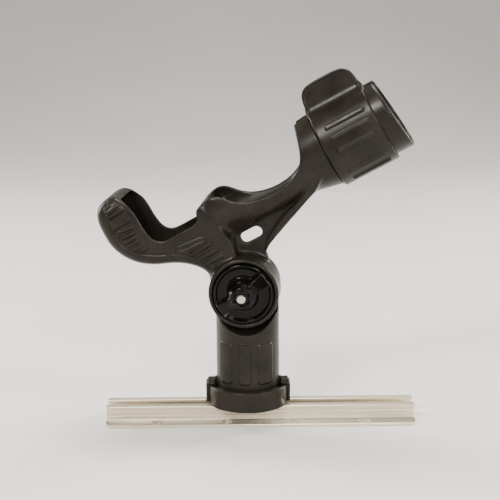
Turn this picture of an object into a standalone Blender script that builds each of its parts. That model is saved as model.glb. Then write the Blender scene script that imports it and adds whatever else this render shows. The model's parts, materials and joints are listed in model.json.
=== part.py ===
"""Track-mounted fishing rod holder, built as separate solids.

Lengths are written in millimetres and turned into metres when a piece is finished.
World frame: origin at the centre of the track's underside, +X along the track, +Z up.
The post, the cradle and the knob share a vertical swivel axis at X = AXIS_X, and are
turned about it by YAW. The cradle is drawn in its own frame: U along the rod tube,
V across it, origin on the pivot, and then tilted up by TILT.
"""
import math

import bmesh
import bpy
from mathutils import Matrix, Vector

# ---------------------------------------------------------------- driving dimensions
GAP = 0.3                      # clearance between touching pieces

TRACK_LENGTH = 228.6
TRACK_WIDTH = 44.45
TRACK_HEIGHT = 12.7
FLANGE_THICK = 2.4
CHANNEL_HALF = 10.8            # outside of the raised channel
CHANNEL_INNER = 8.6            # inside of the raised channel
SLOT_HALF = 4.6                # open slot between the lips
LIP_UNDERSIDE = 10.4
HOLE_PITCH = 50.8
HOLE_Y = 16.6
HOLE_R = 2.3
HOLE_HEAD_R = 4.4
CORNER_R = 6.0

AXIS_X = -9.0
YAW = math.radians(-6.0)
TILT = math.radians(28.5)

BASE_R = 29.5
BASE_BOTTOM = TRACK_HEIGHT + GAP
BASE_FLOOR = 16.0
BASE_TOP = 28.2
BASE_BORE = 24.3
DETENT_HALF = 6.2
DETENT_TOP = 31.0
DETENT_BOTTOM = 20.6
PLATE_BOTTOM = 14.4            # the blade's outer plate reaches down the base's side
SCREW_X = 16.5

POST_R = 23.2
POST_BOTTOM = 17.6
POST_WALL = 4.0
POST_ROOF = 60.0
PIVOT_Z = 103.0
LAP_POST = -3.4                # face of the post's ear, across the pivot
LAP_CRADLE = -3.7              # face of the cradle's hub
EAR_R = 24.2
EAR_BACK = 14.0
SCOOP_R = 28.9                 # at the lap; it flares toward the front
SCOOP_FLARE = 0.263
LAP_BOTTOM = 15.0              # the lap's flat ends this far under the pivot
PAD_LOW = 33.0
PAD_HIGH = 63.0
PAD_PROUD = 0.8

HUB_R = 25.2
HUB_FRONT = -30.4
KNOB_R = 21.8
KNOB_BACK = -26.6
BOLT_R = 3.0
BOLT_HOLE = 3.3
WING_ANGLE = math.radians(37.5)

TUBE_V = 62.0                  # height of the tube's axis over the pivot
TUBE_R = 27.8
TUBE_BORE = 25.0
TUBE_FRONT = 87.5
WAIST_R = 26.0                 # the open trough is a little narrower than the tube
WAIST_BORE = 23.2
TUBE_SLOT_HALF = 10.0
COLLAR_R = 31.0
COLLAR_BORE = 28.2
COLLAR_START = 99.2
COLLAR_END = 141.4
COLLAR_GAP = math.radians(21.0)
ARM_HALF = 27.0
ARM_WALL = 3.4
CLEAR_R = 33.0                 # nothing of the cradle past the lap inside this radius

# Side view of the cradle's arm: the back of the spine, and the line where the
# side panel begins, point for point.
SPINE = [(-54, 103.6), (-60.6, 103.6), (-66.2, 100.6), (-69.4, 93.6), (-70.4, 82), (-69.6, 72.5),
         (-65.8, 62.8), (-59, 54.2), (-50, 47.6), (-40.4, 43.5), (-29.2, 37.8),
         (-22, 31.5), (-17.6, 24.5), (-17, 16)]
PANEL = [(-53.6, 101.2), (-56.4, 100), (-58.0, 97), (-59.4, 91), (-61.4, 79.5), (-60.8, 71),
         (-57.5, 65), (-51.5, 59.6), (-44, 54.6), (-35.5, 50.4), (-25.8, 45.2),
         (-18.9, 38.7), (-14, 30), (-10, 24)]
ARM_END = [(0, 18), (8, 28), (9.8, 35), (9, 42), (5, 50), (4, 60), (3, 69.8)]
ARM_RIM = [(-1.9, 67.9), (-3.5, 62.7), (-6.6, 59.9), (-14.2, 59.2), (-30.5, 59),
           (-35.6, 60.4), (-39.4, 64.6), (-41.4, 74.5), (-41.5, 84), (-41.2, 90.5),
           (-44.6, 95.4), (-48.4, 101)]
TROUGH_RIM = [(-1.9, 67.9), (1.1, 69.4), (9, 71.3), (14, 70.8), (18.6, 68.1), (23.5, 62.4),
              (30.3, 57.3), (38, 54), (47, 52.3), (58, 52.4), (66.2, 54), (73.5, 57.5),
              (79.5, 63), (82.5, 68), (84.3, 74), (85.6, 80), (TUBE_FRONT, 92)]
WEB = [(-12, 14), (23.8, 11), (25.8, 16.3), (30.8, 20.8), (76, 38.4), (78, 52), (40, 46),
       (0, 46), (-12, 32)]
STRUT = [(30, 20.6), (76, 38.4), (84, 38), (89, 50), (84.4, 52.6), (76.1, 44.8), (68.9, 40.4),
         (60, 36.8), (52, 34.2), (44, 30.6), (33, 24)]
STRUT_HALF = 10.0
WEB_FRONT = -10.0

# ---------------------------------------------------------------- helpers
for old in list(bpy.data.objects):
    bpy.data.objects.remove(old, do_unlink=True)

PARTS = bpy.data.collections.new("rod_holder")
CUTTERS = bpy.data.collections.new("cutters")
bpy.context.scene.collection.children.link(PARTS)
bpy.context.scene.collection.children.link(CUTTERS)


def material(name, color, metallic, roughness):
    mat = bpy.data.materials.new(name)
    mat.use_nodes = True
    shader = mat.node_tree.nodes["Principled BSDF"]
    shader.inputs["Base Color"].default_value = (*color, 1.0)
    shader.inputs["Metallic"].default_value = metallic
    shader.inputs["Roughness"].default_value = roughness
    return mat


BLACK = (0.035, 0.03, 0.027)
GLOSS = (0.012, 0.011, 0.011)
CREAM = (0.80, 0.77, 0.70)
STEEL = (0.62, 0.61, 0.59)
WHITE = (0.72, 0.72, 0.70)


def mesh_object(name, bm):
    """Turn a bmesh into an object in the working collection, normals outward."""
    bmesh.ops.remove_doubles(bm, verts=bm.verts, dist=1e-4)
    bmesh.ops.triangulate(bm, faces=bm.faces)
    bmesh.ops.recalc_face_normals(bm, faces=bm.faces)
    mesh = bpy.data.meshes.new(name)
    bm.to_mesh(mesh)
    bm.free()
    obj = bpy.data.objects.new(name, mesh)
    CUTTERS.objects.link(obj)
    return obj


def turned(name, points, segments=32, closed=False, axis="Z", offset=(0, 0, 0)):
    """A body of revolution from (radius, height) points about an axis."""
    bm = bmesh.new()
    verts = [bm.verts.new((r, 0, h)) for r, h in points]
    edges = [bm.edges.new(pair) for pair in zip(verts, verts[1:])]
    if closed:
        edges.append(bm.edges.new((verts[-1], verts[0])))
    bmesh.ops.spin(bm, geom=verts + edges, cent=(0, 0, 0), axis=(0, 0, 1),
                   angle=2 * math.pi, steps=segments, use_merge=True)
    turn = Matrix.Identity(4)
    if axis == "X":
        turn = Matrix.Rotation(math.pi / 2, 4, "Y")
    if axis == "Y":
        turn = Matrix.Rotation(-math.pi / 2, 4, "X")
    bm.transform(Matrix.Translation(offset) @ turn)
    return mesh_object(name, bm)


def solid_cylinder(name, radius, low, high, segments=32, axis="Z", offset=(0, 0, 0)):
    points = [(0, low), (radius, low), (radius, high), (0, high)]
    return turned(name, points, segments, axis=axis, offset=offset)


def ring(name, inner, outer, low, high, segments=32, axis="Z", offset=(0, 0, 0)):
    points = [(inner, low), (outer, low), (outer, high), (inner, high)]
    return turned(name, points, segments, closed=True, axis=axis, offset=offset)


def slab(name, outline, low, high, plane="XZ"):
    """A flat outline made thick: outline in XZ and thickness in Y, or XY and Z, or YZ and X."""
    bm = bmesh.new()
    place = {"XZ": lambda a, b, t: (a, t, b), "XY": lambda a, b, t: (a, b, t),
             "YZ": lambda a, b, t: (t, a, b)}[plane]
    bottom = bm.faces.new([bm.verts.new(place(a, b, low)) for a, b in outline])
    made = bmesh.ops.extrude_face_region(bm, geom=[bottom])
    moved = [item for item in made["geom"] if isinstance(item, bmesh.types.BMVert)]
    shift = Vector(place(0, 0, high - low))
    bmesh.ops.translate(bm, vec=shift, verts=moved)
    return mesh_object(name, bm)


def box(name, low, high):
    outline = [(low[0], low[1]), (high[0], low[1]), (high[0], high[1]), (low[0], high[1])]
    return slab(name, outline, low[2], high[2], plane="XY")


def sector(name, inner, outer, low, high, middle, width, steps):
    """A curved pad about Z, centred on the angle `middle` measured from -Y."""
    bm = bmesh.new()
    start = middle - width / 2 - math.pi / 2
    corners = [(inner, low), (outer, low), (outer, high), (inner, high)]
    verts = [bm.verts.new((r * math.cos(start), r * math.sin(start), h)) for r, h in corners]
    face = bm.faces.new(verts)
    bmesh.ops.spin(bm, geom=[face], cent=(0, 0, 0), axis=(0, 0, 1), angle=width, steps=steps)
    return mesh_object(name, bm)


def capsule_outline(a, b, radius, steps=8):
    """Outline of a slot with round ends between the centres a and b."""
    along = math.atan2(b[1] - a[1], b[0] - a[0])
    points = []
    for centre, start in ((b, along - math.pi / 2), (a, along + math.pi / 2)):
        for i in range(steps + 1):
            angle = start + math.pi * i / steps
            points.append((centre[0] + radius * math.cos(angle),
                           centre[1] + radius * math.sin(angle)))
    return points


def open_edges(mesh):
    """How many edges of a mesh are not shared by exactly two faces."""
    bm = bmesh.new()
    bm.from_mesh(mesh)
    count = sum(1 for edge in bm.edges if len(edge.link_faces) != 2)
    bm.free()
    return count


def combine(obj, other, operation):
    """Boolean by the exact solver, or by the manifold one where that leaves a hole."""
    mod = obj.modifiers.new(operation.lower(), "BOOLEAN")
    mod.operation = operation
    mod.object = other
    for solver in ("EXACT", "MANIFOLD"):
        mod.solver = solver
        graph = bpy.context.evaluated_depsgraph_get()
        mesh = bpy.data.meshes.new_from_object(obj.evaluated_get(graph))
        if mesh.polygons and not open_edges(mesh):
            break
    obj.modifiers.clear()
    obj.data = mesh
    bpy.data.objects.remove(other, do_unlink=True)


def cut(obj, *others):
    for other in others:
        combine(obj, other, "DIFFERENCE")


def join(obj, *others):
    for other in others:
        combine(obj, other, "UNION")


def clean(obj):
    bm = bmesh.new()
    bm.from_mesh(obj.data)
    bmesh.ops.remove_doubles(bm, verts=bm.verts, dist=2e-3)
    bmesh.ops.dissolve_degenerate(bm, edges=bm.edges, dist=1e-3)
    bmesh.ops.dissolve_limit(bm, angle_limit=math.radians(0.4), verts=bm.verts,
                             edges=bm.edges)
    bmesh.ops.triangulate(bm, faces=bm.faces)
    bmesh.ops.recalc_face_normals(bm, faces=bm.faces)
    bm.to_mesh(obj.data)
    bm.free()


def finish(obj, name, place, mat):
    """Name a solid, put it in the parts collection, and set it in metres."""
    clean(obj)
    obj.data.transform(Matrix.Scale(0.001, 4))
    where = place.copy()
    where.translation = place.translation * 0.001
    obj.matrix_world = where
    obj.name = name
    obj.data.name = name
    obj.data.materials.clear()
    obj.data.materials.append(mat)
    CUTTERS.objects.unlink(obj)
    PARTS.objects.link(obj)
    return obj


WORLD = Matrix.Identity(4)
SWIVEL = Matrix.Translation((AXIS_X, 0, 0)) @ Matrix.Rotation(YAW, 4, "Z")
PIVOT = Matrix.Translation((AXIS_X, 0, PIVOT_Z)) @ Matrix.Rotation(YAW, 4, "Z")
CRADLE = PIVOT @ Matrix.Rotation(-TILT, 4, "Y")
TUBE = CRADLE @ Matrix.Translation((0, 0, TUBE_V))


# ---------------------------------------------------------------- track
def make_track():
    half = TRACK_WIDTH / 2
    section = [(-half, 0), (half, 0), (half, FLANGE_THICK), (CHANNEL_HALF, FLANGE_THICK),
               (CHANNEL_HALF, TRACK_HEIGHT), (SLOT_HALF, TRACK_HEIGHT),
               (SLOT_HALF, LIP_UNDERSIDE), (CHANNEL_INNER, LIP_UNDERSIDE),
               (CHANNEL_INNER, FLANGE_THICK), (-CHANNEL_INNER, FLANGE_THICK),
               (-CHANNEL_INNER, LIP_UNDERSIDE), (-SLOT_HALF, LIP_UNDERSIDE),
               (-SLOT_HALF, TRACK_HEIGHT), (-CHANNEL_HALF, TRACK_HEIGHT),
               (-CHANNEL_HALF, FLANGE_THICK), (-half, FLANGE_THICK)]
    end = TRACK_LENGTH / 2
    track = slab("track", section, -end, end, plane="YZ")
    for side_x in (-1, 1):
        for side_y in (-1, 1):
            corner = [(end + 1, half + 1), (end + 1, half - CORNER_R)]
            for i in range(7):
                angle = math.pi / 2 * i / 6
                corner.append((end - CORNER_R + CORNER_R * math.cos(angle),
                               half - CORNER_R + CORNER_R * math.sin(angle)))
            corner.append((end - CORNER_R, half + 1))
            outline = [(side_x * x, side_y * y) for x, y in corner]
            cut(track, slab("corner", outline, -1, FLANGE_THICK + 1, plane="XY"))
    first = -1.5 * HOLE_PITCH
    for i in range(4):
        for side_y in (-1, 1):
            profile = [(0, -1), (HOLE_R, -1), (HOLE_R, 0.4), (HOLE_HEAD_R, FLANGE_THICK),
                       (HOLE_HEAD_R, FLANGE_THICK + 1), (0, FLANGE_THICK + 1)]
            cut(track, turned("hole", profile, 16,
                              offset=(first + i * HOLE_PITCH, side_y * HOLE_Y, 0)))
    return track


aluminium = material("track_aluminium", CREAM, 0.6, 0.4)
track = finish(make_track(), "track", WORLD, aluminium)

# ---------------------------------------------------------------- base on the track
nylon = material("base_nylon", BLACK, 0.0, 0.5)
BASE = Matrix.Translation((AXIS_X, 0, 0))
base = turned("mount_base",
              [(0, BASE_BOTTOM), (BASE_R - 0.8, BASE_BOTTOM), (BASE_R, BASE_BOTTOM + 0.8),
               (BASE_R, BASE_TOP - 1.0), (BASE_R - 1.0, BASE_TOP), (BASE_BORE + 0.6, BASE_TOP),
               (BASE_BORE, BASE_TOP - 0.6), (BASE_BORE, BASE_FLOOR), (0, BASE_FLOOR)], 48)
RETAIN_LOW = 18.0
RETAIN_HIGH = 19.6
cut(base, ring("groove", BASE_BORE - 1, BASE_BORE + 1.3, RETAIN_LOW - GAP,
               RETAIN_HIGH + GAP, 48))
for side in (-1, 1):
    near = side * (BASE_BORE - 2)
    far = side * (BASE_R + 3)
    notch_low = (min(near, far), -DETENT_HALF - GAP, DETENT_BOTTOM)
    notch_high = (max(near, far), DETENT_HALF + GAP, BASE_TOP + 5)
    cut(base, box("notch", notch_low, notch_high))
    cut(base, turned("screw_hole",
                     [(0, BASE_BOTTOM - 1), (BOLT_HOLE, BASE_BOTTOM - 1),
                      (BOLT_HOLE, BASE_BOTTOM + 0.5), (4.9, BASE_FLOOR - 0.1),
                      (4.9, BASE_FLOOR + 1), (0, BASE_FLOOR + 1)], 24,
                     offset=(side * SCREW_X, 0, 0)))
finish(base, "mount_base", BASE, nylon)

detent_nylon = material("detent_nylon", BLACK, 0.0, 0.55)
for side, label in ((-1, "left"), (1, "right")):
    inner = BASE_BORE + 0.2
    outer = BASE_R + 0.5
    low = (min(side * inner, side * outer), -DETENT_HALF, DETENT_BOTTOM + GAP)
    high = (max(side * inner, side * outer), DETENT_HALF, DETENT_TOP)
    detent = box("detent", low, high)
    for way in (-1, 1):
        chamfer = [(way * (DETENT_HALF + 1), DETENT_TOP + 1),
                   (way * (DETENT_HALF + 1), DETENT_TOP - 2.5),
                   (way * (DETENT_HALF - 1.8), DETENT_TOP + 1)]
        cut(detent, slab("chamfer", chamfer, low[0] - 1, high[0] + 1, plane="YZ"))
    plate_in = side * (BASE_R + GAP)
    plate_out = side * (BASE_R + 1.7)
    join(detent, box("plate", (min(plate_in, plate_out), -DETENT_HALF, PLATE_BOTTOM),
                     (max(plate_in, plate_out), DETENT_HALF, DETENT_TOP - 2.5)))
    finish(detent, "detent_" + label, BASE, detent_nylon)

zinc = material("zinc_steel", STEEL, 1.0, 0.35)
for side, label in ((-1, "left"), (1, "right")):
    nut = box("t_nut", (side * SCREW_X - 7, -CHANNEL_INNER + 0.4, 5.2),
              (side * SCREW_X + 7, CHANNEL_INNER - 0.4, LIP_UNDERSIDE - GAP))
    cut(nut, solid_cylinder("hole", BOLT_HOLE, 4, 12, 20, offset=(side * SCREW_X, 0, 0)))
    finish(nut, "t_nut_" + label, BASE, zinc)
    screw = turned("base_screw",
                   [(0, 4.4), (BOLT_R, 4.4), (BOLT_R, BASE_BOTTOM + 0.5),
                    (4.5, BASE_FLOOR - 0.3), (0, BASE_FLOOR - 0.3)], 20,
                   offset=(side * SCREW_X, 0, 0))
    cut(screw, box("recess", (side * SCREW_X - 1.2, -1.2, BASE_FLOOR - 1.6),
                   (side * SCREW_X + 1.2, 1.2, BASE_FLOOR + 1)))
    finish(screw, "base_screw_" + label, BASE, zinc)

acetal = material("thrust_washer_acetal", WHITE, 0.0, 0.4)
finish(ring("thrust_washer", 10.5, 22.0, BASE_FLOOR + GAP, POST_BOTTOM - GAP, 36),
       "thrust_washer", BASE, acetal)

# ---------------------------------------------------------------- post
post_nylon = material("post_nylon", BLACK, 0.0, 0.5)
post = turned("post",
              [(POST_R - POST_WALL, POST_BOTTOM), (POST_R - 0.8, POST_BOTTOM),
               (POST_R, POST_BOTTOM + 0.8), (POST_R, RETAIN_LOW - GAP),
               (POST_R - 1.0, RETAIN_LOW - GAP), (POST_R - 1.0, RETAIN_HIGH + GAP),
               (POST_R, RETAIN_HIGH + GAP), (POST_R, PIVOT_Z), (0, PIVOT_Z), (0, POST_ROOF),
               (POST_R - POST_WALL, POST_ROOF - 4)], 48, closed=True)
cut(post, box("lap", (-40, -40, PIVOT_Z - LAP_BOTTOM), (40, LAP_POST, PIVOT_Z + 40)))
scoop_wide = SCOOP_R + SCOOP_FLARE * (LAP_POST + 40)
cut(post, turned("scoop", [(0, -40), (scoop_wide, -40), (SCOOP_R, LAP_POST), (0, LAP_POST)],
                 64, axis="Y", offset=(0, 0, PIVOT_Z)))
join(post, turned("ear", [(0, LAP_POST), (EAR_R, LAP_POST), (EAR_R, EAR_BACK - 6),
                          (EAR_R - 1.6, EAR_BACK - 2), (EAR_R - 5, EAR_BACK), (0, EAR_BACK)],
                  48, axis="Y", offset=(0, 0, PIVOT_Z)))
cut(post, box("flat", (-40, EAR_BACK, PIVOT_Z - 30), (40, 60, PIVOT_Z + 40)))
TOOTH_IN = 12.0
TOOTH_OUT = 22.0
TOOTH_POST = 0.8
TOOTH_CRADLE = -7.9
SPRING_POCKET = 9.0
cut(post, ring("tooth_seat", TOOTH_IN - GAP, TOOTH_OUT + GAP, LAP_POST - 1,
               TOOTH_POST + GAP, 40, axis="Y", offset=(0, 0, PIVOT_Z)))
cut(post, solid_cylinder("spring_seat", SPRING_POCKET, LAP_POST - 1, 4.5, 32, axis="Y",
                         offset=(0, 0, PIVOT_Z)))
cut(post, solid_cylinder("bolt_hole", BOLT_HOLE, -10, 40, 20, axis="Y",
                         offset=(0, 0, PIVOT_Z)))
for centre, width in ((0, 21), (39.5, 30), (-39.5, 30), (180, 21), (140.5, 30),
                      (-140.5, 30)):
    join(post, sector("pad", POST_R - 1.0, POST_R + PAD_PROUD, PAD_LOW, PAD_HIGH,
                      math.radians(centre), math.radians(width), 6))
finish(post, "post", SWIVEL, post_nylon)

steel = material("spring_steel", STEEL, 1.0, 0.3)
retainer = ring("post_retainer", POST_R - 0.7, BASE_BORE + 1.0, RETAIN_LOW, RETAIN_HIGH, 48)
cut(retainer, box("split", (-1.2, -40, 10), (1.2, 0, 30)))
finish(retainer, "post_retainer", SWIVEL, steel)

tooth_metal = material("tooth_ring_zinc", STEEL, 1.0, 0.4)
finish(ring("post_tooth_ring", TOOTH_IN, TOOTH_OUT, LAP_POST, TOOTH_POST, 40, axis="Y"),
       "post_tooth_ring", PIVOT, tooth_metal)
HEAD_WASHER = 1.2
finish(ring("head_washer", BOLT_HOLE, 9.5, EAR_BACK + GAP, EAR_BACK + GAP + HEAD_WASHER,
            32, axis="Y"), "head_washer", PIVOT, zinc)
HEAD_START = EAR_BACK + 2 * GAP + HEAD_WASHER
bolt = turned("pivot_bolt",
              [(0, -46.4), (BOLT_R - 0.5, -46.4), (BOLT_R, -45.9), (BOLT_R, HEAD_START),
               (7.5, HEAD_START), (7.2, HEAD_START + 1.6), (5.4, HEAD_START + 3.0),
               (2.8, HEAD_START + 3.8), (0, HEAD_START + 4.0)], 24, axis="Y")
finish(bolt, "pivot_bolt", PIVOT, zinc)


def make_spring():
    """Helical spring about the bolt, as a tube swept along its centre line."""
    coil_r, wire_r, turns, per_turn, sides = 6.2, 0.8, 3.0, 14, 6
    low, high = -9.6, 3.2
    count = int(turns * per_turn)
    bm = bmesh.new()
    rings = []
    for i in range(count + 1):
        angle = 2 * math.pi * i / per_turn
        y = low + (high - low) * i / count
        out = Vector((math.cos(angle), 0, math.sin(angle)))
        loop = []
        for k in range(sides):
            turn = 2 * math.pi * k / sides
            point = out * (coil_r + wire_r * math.cos(turn))
            point.y = y + wire_r * math.sin(turn)
            loop.append(bm.verts.new(point))
        rings.append(loop)
    for a, b in zip(rings, rings[1:]):
        for k in range(sides):
            bm.faces.new((a[k], a[(k + 1) % sides], b[(k + 1) % sides], b[k]))
    bm.faces.new(rings[0])
    bm.faces.new(list(reversed(rings[-1])))
    return mesh_object("separating_spring", bm)


finish(make_spring(), "separating_spring", PIVOT, steel)


# ---------------------------------------------------------------- cradle
def arm_loft(name, back, panel, rest, flat, reach, layers=(0, 30, 60, 90)):
    """A body with a rounded back: side outlines at several depths, joined up."""
    stations = []
    for angle in reversed(layers):
        a = math.radians(angle)
        stations.append((-(flat + reach * math.sin(a)), 1 - math.cos(a)))
    stations += [(-y, k) for y, k in reversed(stations)]
    bm = bmesh.new()
    loops = []
    for y, k in stations:
        outline = [(p[0] + (q[0] - p[0]) * k, p[1] + (q[1] - p[1]) * k)
                   for p, q in zip(back, panel)]
        loops.append([bm.verts.new((u, y, v)) for u, v in outline + rest])
    count = len(loops[0])
    for a, b in zip(loops, loops[1:]):
        for k in range(count):
            bm.faces.new((a[k], a[(k + 1) % count], b[(k + 1) % count], b[k]))
    bm.faces.new(loops[0])
    bm.faces.new(list(reversed(loops[-1])))
    return mesh_object(name, bm)


def make_cradle():
    cradle = arm_loft("cradle", SPINE, PANEL, ARM_END + ARM_RIM, 17.0, ARM_HALF - 17.0)
    tube = turned("tube",
                  [(0, 3.5), (WAIST_R - 2.5, 3.5), (WAIST_R + 0.6, 8), (WAIST_R, 30),
                   (WAIST_R, 66), (TUBE_R - 1.6, 84), (TUBE_R, 96), (TUBE_R, 152.5),
                   (TUBE_R - 2.0, 156), (0, 156)], 48, axis="X", offset=(0, 0, TUBE_V))
    shoulder = turned("shoulder",
                  [(0, 76), (TUBE_R - 3.9, 76), (TUBE_R + 0.9, 98.2), (TUBE_R + 0.3, 98.8),
                   (0, 98.8)], 48, axis="X", offset=(0, 0, TUBE_V))
    join(cradle, tube, shoulder)
    join(cradle, slab("web", WEB, WEB_FRONT, LAP_CRADLE))
    join(cradle, slab("strut", STRUT, -STRUT_HALF, STRUT_HALF))
    join(cradle, solid_cylinder("hub", HUB_R, HUB_FRONT, LAP_CRADLE, 48, axis="Y"))
    top = TROUGH_RIM + [(TUBE_FRONT, 140), (-0.5, 140)]
    cut(cradle, slab("trough_top", top, -60, 60))
    cut(cradle, turned("bore",
                       [(0, 3), (WAIST_BORE, 3), (WAIST_BORE, 66), (TUBE_BORE, 96),
                        (TUBE_BORE, 170), (0, 170)], 48, axis="X", offset=(0, 0, TUBE_V)))
    inner_back = []
    inner_panel = []
    for p, q in zip(SPINE[:11], PANEL[:11]):
        way = (Vector(q) - Vector(p)).normalized()
        inner_back.append(tuple(Vector(p) + way * (ARM_WALL + 0.6)))
        inner_panel.append(tuple(Vector(q) + way * 0.8))
    rest = [(-14, 41.5), (-5, 39.2), (8, 39), (8, 120), (-44, 120), (-50, 108)]
    cut(cradle, arm_loft("pocket", inner_back, inner_panel, rest, 14.0,
                         ARM_HALF - ARM_WALL - 14.0))
    cut(cradle, box("tube_slot", (80, -TUBE_SLOT_HALF, TUBE_V), (170, TUBE_SLOT_HALF, 110)))
    cut(cradle, slab("end_cut", [(148.8, 95), (156.2, 28), (180, 28), (180, 95)], -60, 60))
    cut(cradle, solid_cylinder("ear_room", CLEAR_R, LAP_CRADLE, 40, 64, axis="Y"))
    cut(cradle, slab("web_slot", capsule_outline((18, 32.0), (26.6, 32.0), 3.9), -14, 4))
    cut(cradle, solid_cylinder("knob_room", KNOB_R + 0.6, -60, KNOB_BACK + 1.4, 48,
                               axis="Y"))
    cut(cradle, ring("tooth_seat", TOOTH_IN - GAP, TOOTH_OUT + GAP, TOOTH_CRADLE - GAP,
                     LAP_CRADLE + 1, 40, axis="Y"))
    cut(cradle, solid_cylinder("spring_seat", SPRING_POCKET, -11.0, LAP_CRADLE + 1, 32,
                               axis="Y"))
    cut(cradle, solid_cylinder("bolt_hole", BOLT_HOLE, -60, 10, 20, axis="Y"))
    cut(cradle, ring("collar_groove", TUBE_R - 0.9, TUBE_R + 4, 118.8, 121.8, 48,
                     axis="X", offset=(0, 0, TUBE_V)))
    return cradle


cradle_nylon = material("cradle_nylon", BLACK, 0.0, 0.5)
finish(make_cradle(), "cradle", CRADLE, cradle_nylon)
finish(ring("cradle_tooth_ring", TOOTH_IN, TOOTH_OUT, TOOTH_CRADLE, LAP_CRADLE, 40,
            axis="Y"), "cradle_tooth_ring", CRADLE, tooth_metal)


# ---------------------------------------------------------------- collar
def make_collar():
    middle = (COLLAR_START + COLLAR_END) / 2
    collar = turned("collar",
                    [(COLLAR_BORE, COLLAR_START), (COLLAR_R - 1, COLLAR_START),
                     (COLLAR_R, COLLAR_START + 1), (COLLAR_R, COLLAR_END - 1),
                     (COLLAR_R - 1, COLLAR_END), (COLLAR_BORE, COLLAR_END),
                     (COLLAR_BORE, middle + 1.1), (COLLAR_BORE - 0.9, middle + 0.9),
                     (COLLAR_BORE - 0.9, middle - 0.9), (COLLAR_BORE, middle - 1.1)],
                    64, closed=True, axis="X")
    reach = 60.0
    wedge = [(0, 0), (-reach * math.tan(COLLAR_GAP), reach),
             (reach * math.tan(COLLAR_GAP), reach)]
    cut(collar, slab("gap", wedge, COLLAR_START - 5, COLLAR_END + 5, plane="YZ"))
    for degrees in (27.5, 9.8, -7.5, -42.0, -60.0):
        angle = math.radians(180 - degrees)
        bar = box("bar", (108.5, COLLAR_R - 1.2, -1.3), (135, COLLAR_R + 0.8, 1.3))
        bar.data.transform(Matrix.Rotation(angle, 4, "X"))
        join(collar, bar)
    edge = COLLAR_GAP + math.radians(3.2)
    y = -COLLAR_R * math.sin(edge)
    outline = [(100.2, 26.5), (100.4, 38), (102.2, 42.4), (105.4, 45), (110, 45.9),
               (130, 45.9), (135, 44.9), (138.4, 42.4), (140.4, 38), (140.4, 26.5)]
    lip = slab("lip", outline, y - 1.5, y + 1.6)
    cut(lip, solid_cylinder("lip_bore", COLLAR_BORE + 1.0, 90, 150, 64, axis="X"))
    join(collar, lip)
    return collar


collar_nylon = material("collar_nylon", BLACK, 0.0, 0.5)
finish(make_collar(), "collar", TUBE, collar_nylon)


# ---------------------------------------------------------------- knob
def make_knob():
    knob = turned("knob",
                  [(0, KNOB_BACK), (KNOB_R - 0.8, KNOB_BACK),
                   (KNOB_R, KNOB_BACK - 0.8), (KNOB_R, -30.2), (KNOB_R - 1.2, -31.2),
                   (KNOB_R - 3.0, -30.2), (12.0, -30.2), (10.4, -32.0), (9.8, -39.0),
                   (8.2, -40.6), (7.6, -43.4), (7.0, -43.8), (0, -43.8)],
                  48, axis="Y")
    wing = [(-20.0, -6.0), (-8, -4.4), (8, -4.4), (20.0, -6.0), (21.0, 0),
            (20.0, 6.0), (8, 4.4), (-8, 4.4), (-20.0, 6.0), (-21.0, 0)]
    bar = slab("wings", wing, -40.4, -29.8)
    for side in (-1, 1):
        slope = [(side * 8, -42), (side * 24, -42), (side * 24, -34.5), (side * 20, -35.5),
                 (side * 9, -40.4)]
        cut(bar, slab("slope", slope, -12, 12, plane="XY"))
    bar.data.transform(Matrix.Rotation(-WING_ANGLE, 4, "Y"))
    join(knob, bar)
    cut(knob, solid_cylinder("bolt_hole", BOLT_HOLE, -60, -20, 20, axis="Y"))
    cut(knob, solid_cylinder("nut_seat", 5.95, -60, -39.0, 6, axis="Y"))
    return knob


knob_gloss = material("knob_gloss", GLOSS, 0.0, 0.2)
finish(make_knob(), "knob", PIVOT, knob_gloss)
nut = solid_cylinder("knob_nut", 5.6, -42.9, -39.0 - GAP, 6, axis="Y")
cut(nut, solid_cylinder("hole", BOLT_HOLE, -60, -20, 20, axis="Y"))
finish(nut, "knob_nut", PIVOT, zinc)
finish(ring("knob_washer", BOLT_HOLE, 10.0, KNOB_BACK + GAP, KNOB_BACK + 1.1, 32, axis="Y"),
       "knob_washer", PIVOT, zinc)

for helper in list(CUTTERS.objects):
    helper.hide_render = True
    helper.display_type = "WIRE"
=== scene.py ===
"""Look of the track-mounted rod holder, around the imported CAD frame.

The moulded pieces are built from signed distance fields: each shape is a sum of
rounded forms with fillets between them, sampled on a grid and turned into a mesh by
surface nets. Lengths in the shape functions are in millimetres. A field is negative
inside its form; a minimum joins two forms and a maximum cuts one by the other.
"""

import json
import math

import bmesh
import bpy
import numpy as np
from mathutils import Matrix, Vector


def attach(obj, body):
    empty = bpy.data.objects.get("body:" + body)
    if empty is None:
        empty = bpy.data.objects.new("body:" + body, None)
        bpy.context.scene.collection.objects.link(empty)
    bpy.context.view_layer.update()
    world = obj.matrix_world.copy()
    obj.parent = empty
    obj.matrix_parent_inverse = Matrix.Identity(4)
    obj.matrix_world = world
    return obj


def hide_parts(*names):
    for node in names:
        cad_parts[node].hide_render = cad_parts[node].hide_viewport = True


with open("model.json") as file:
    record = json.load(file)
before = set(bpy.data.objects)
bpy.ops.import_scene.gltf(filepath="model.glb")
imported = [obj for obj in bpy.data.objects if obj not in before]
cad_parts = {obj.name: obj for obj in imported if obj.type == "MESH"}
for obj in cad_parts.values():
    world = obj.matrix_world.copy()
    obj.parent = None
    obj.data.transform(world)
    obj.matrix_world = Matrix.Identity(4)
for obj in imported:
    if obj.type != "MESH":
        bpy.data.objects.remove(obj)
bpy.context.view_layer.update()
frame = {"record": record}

MM = 0.001


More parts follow.
